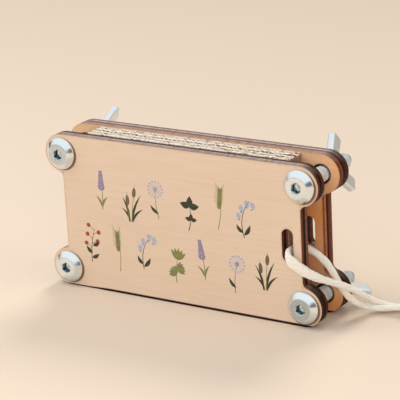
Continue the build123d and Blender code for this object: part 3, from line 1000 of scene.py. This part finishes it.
def printed_sprigs(inks):
    """Two staggered rows of upright sprigs on the front board's face, each row with its foot's height, the
    place of its first sprig and its plants. Each stroke becomes a thin closed slab, whose front lies just
    proud of the wood: its two edges, front and back, are four rails joined by quads. The strokes of one ink
    lie in nine thin layers in turn, so that neighbours don't share a plane."""
    front_y = front_low.y - ink_front
    back_y = front_low.y + ink_back
    upper = (flower_spike, bulrush, seed_globe, clover, grass_ear, hanging_bells)
    lower = (berry_twig, grass_ear, hanging_bells, fan_leaves, flower_spike, seed_globe, bulrush)
    rows = [(0.0425, -0.0470, upper), (0.0135, -0.0560, lower)]
    slabs = {name: [] for name in inks}
    for row, (foot, first, plants) in enumerate(rows):
        for column, plant in enumerate(plants):
            lean = math.radians(7 * math.sin(2.3 * column + 1.7 * row))
            spin = np.array([[math.cos(lean), -math.sin(lean)], [math.sin(lean), math.cos(lean)]])
            height = foot + sprig_waver * math.cos(2.9 * column + row)
            place = np.array([first + sprig_spacing * column, height])
            for ink, edges in plant(sprig_height):
                slabs[ink].append([edge @ spin + place for edge in edges])
    for ink, strokes in slabs.items():
        edges = np.array(strokes)
        count, _, steps, _ = edges.shape
        rails = np.stack([edges[:, 0], edges[:, 1], edges[:, 1], edges[:, 0]], axis=2)
        lift = ink_layer * (np.arange(count) % ink_layers)
        depth = np.stack([front_y - lift, front_y - lift, back_y + lift, back_y + lift], axis=-1)
        depth = np.broadcast_to(depth[:, None], (count, steps, 4))
        points = np.stack([rails[..., 0], depth, rails[..., 1]], axis=-1).reshape(-1, 3)
        one = np.array(closed_tube(steps, 4))[:, ::-1]
        faces = (one + 4 * steps * np.arange(count)[:, None, None]).reshape(-1, 4)
        add_piece(f"print_{ink}", points, faces.tolist(), inks[ink], "frame", sharp=30)


def hang_lamp(name, data, place, way, colour):
    """A lamp that shines along a way. Metal mirrors the dome and not the lamp."""
    data.color = linear(colour)[:3]
    lamp = bpy.data.objects.new(name, data)
    lamp.location = place
    lamp.rotation_euler = way.to_track_quat("-Z", "Y").to_euler()
    lamp.visible_glossy = False
    bpy.context.scene.collection.objects.link(lamp)


def add_soft_box(name, place, target, size, power, colour):
    """A soft box: a square area lamp that faces a target."""
    data = bpy.data.lights.new(name, "AREA")
    data.size = size
    data.energy = power
    hang_lamp(name, data, place, Vector(target) - Vector(place), colour)


def add_floor():
    """A wide pale floor, just under the press."""
    corners = [(x * floor_reach, y * floor_reach, floor_z) for x, y in ((-1, -1), (1, -1), (1, 1), (-1, 1))]
    mesh = bpy.data.meshes.new("floor")
    mesh.from_pydata(corners, [], [(0, 1, 2, 3)])
    mesh.materials.append(pale_floor("painted studio floor"))
    floor = bpy.data.objects.new("floor", mesh)
    bpy.context.scene.collection.objects.link(floor)


def add_dome():
    """A dome that is brighter overhead than at its horizon, with a warm wall behind the press. Metal mirrors
    a brighter dome with two dark flags, each a round patch with a soft rim."""
    flags = ((-0.975, 0.20, 0.04), (0.77, -0.60, 0.20))
    flag_outer = 0.965
    flag_inner = 0.985
    flag_level = 0.25
    wall_way = (0.30, 0.92, 0.22)
    world = bpy.data.worlds.new("studio dome")
    world.use_nodes = True
    bpy.context.scene.world = world
    tree = world.node_tree
    tree.nodes.clear()
    way = add(tree, "TexCoord").outputs["Generated"]
    height = add(tree, "SeparateXYZ", {"Vector": way}).outputs["Z"]
    dome = add(tree, "MapRange", {"Value": height, "From Min": -0.05, "From Max": 0.8, "To Min": 0.25,
                                  "To Max": 0.54}, interpolation_type="SMOOTHSTEP")
    mirrored = add(tree, "MapRange", {"Value": height, "From Min": -0.05, "From Max": 0.5, "To Min": 0.55,
                                      "To Max": 1.0}, interpolation_type="SMOOTHSTEP")
    for flag in flags:
        aim = tuple(Vector(flag).normalized())
        nearness = add(tree, "VectorMath", {0: way, 1: aim}, operation="DOT_PRODUCT")
        dim = add(tree, "MapRange", {"Value": nearness, "From Min": flag_outer, "From Max": flag_inner,
                                     "To Min": 1.0, "To Max": flag_level}, interpolation_type="SMOOTHSTEP")
        mirrored = add(tree, "Math", {0: mirrored, 1: dim}, operation="MULTIPLY")
    glossy = add(tree, "LightPath").outputs["Is Glossy Ray"]
    level = add(tree, "Mix", {"Factor": glossy, "A": dome, "B": mirrored})
    climb = add(tree, "MapRange", {"Value": height, "From Max": 0.6})
    tint = add(tree, "Mix", {"Factor": climb, "A": linear("#F0E9E1"), "B": linear("#FCFEFF")},
               data_type="RGBA")
    to_wall = add(tree, "VectorMath", {0: way, 1: tuple(Vector(wall_way).normalized())},
                  operation="DOT_PRODUCT")
    wall = add(tree, "MapRange", {"Value": to_wall, "From Min": 0.72, "From Max": 0.92})
    shown = add(tree, "Mix", {"Factor": wall, "A": tint, "B": linear("#DECAB2")}, data_type="RGBA")
    sky = add(tree, "Background", {"Color": shown, "Strength": level})
    add(tree, "OutputWorld", {"Surface": sky})


def studio():
    """A pale floor, a dome, a soft window light from behind, and soft boxes overhead, on both sides and in
    front."""
    add_floor()
    add_dome()
    window = bpy.data.lights.new("window", "SUN")
    window.energy = 1.6
    window.angle = math.radians(24)
    hang_lamp("window", window, (0, 0, 0), Vector((0.11, -0.74, -0.66)), "#FFFAF3")
    add_soft_box("overhead", (-0.45, -0.30, 1.25), (0, 0, 0.03), 0.7, 3.8, "#FFFFFF")
    add_soft_box("side", (0.85, 0.10, 0.95), (0, 0, 0.05), 0.4, 1.0, "#FFFFFF")
    add_soft_box("left", (-1.00, -0.42, 0.68), (0, 0, 0.05), 0.6, 3.0, "#FFFFFF")
    add_soft_box("front_left", (-0.50, -1.30, 0.75), (0, 0, 0.04), 0.9, 3.6, "#FFFDFA")
    add_soft_box("front_right", (0.80, -1.15, 0.50), (0, 0, 0.04), 0.5, 5.6, "#FFFDFA")
    bpy.context.scene.view_settings.view_transform = "Standard"


def dress(names, material):
    """Gives CAD nodes their finish."""
    for name in names:
        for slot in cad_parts[name].material_slots:
            slot.material = material


add_camera()
hanging_cord(undyed_cotton("undyed twisted cotton"))

# Each board's last colours are its long edges': paler, as painted sheen and light from above.
front_plywood = laser_cut_plywood("front basswood plywood", "front_board", "#E3CDB7", "#D9BDA3", 1.0,
                                  ("#7A4230", "#22100A", "#8C5540"), ("#9A8880", "#A8978F", "#4B3C38"))
back_plywood = laser_cut_plywood("back basswood plywood", "back_board", "#E9CDAE", "#DAB792", -1.0,
                                 ("#8F4824", "#B4744E", "#2C1008", "#6E3A2C", "#84503C"),
                                 ("#A5897C", "#A98D80", "#7A6058", "#BCA69E", "#86706A"))
dress(["front_board"], front_plywood)
dress(["back_board"], back_plywood)
zinc_nut = zinc_on_cast_steel("zinc plate on cast steel")
zinc_bolt = zinc_on_turned_steel("zinc plate on turned steel")
dress([f"wing_nut_{place}" for place in bolt_places], zinc_nut)
for place, (x, z) in bolt_places.items():
    bolt_points, bolt_faces = turned_bolt(x, z)
    add_piece(f"connector_bolt_{place}", bolt_points, bolt_faces, zinc_bolt, "frame",
              [f"bolt_{place}"], sharp=28)
stack_of_sheets(
    pulp_sheet("blotting paper", ("#FFFAF2", "#E6D9C8"), ("#F0E7DB", "#D8C8B4"), 0.0011),
    # The card's sides and flute walls are kraft brown, darkened further as painted shade in the flutes.
    pulp_sheet("corrugated card", ("#FFF9F1", "#E2D3BF"), ("#A2866A", "#68503A"), 0.0012),
)
printed_sprigs({
    "dark_green": printed_ink("dark green ink", "#2F3527", "#56543D"),
    "olive": printed_ink("olive ink", "#7D7F47", "#98935F"),
    "lavender": printed_ink("lavender ink", "#8C82A3", "#A99AAA"),
    "pale_blue": printed_ink("pale blue ink", "#A5AFC6", "#BDB9BB"),
    "rust": printed_ink("rust ink", "#A3452C", "#B8694A"),
    "brown": printed_ink("brown ink", "#6A5541", "#86694E"),
})
studio()
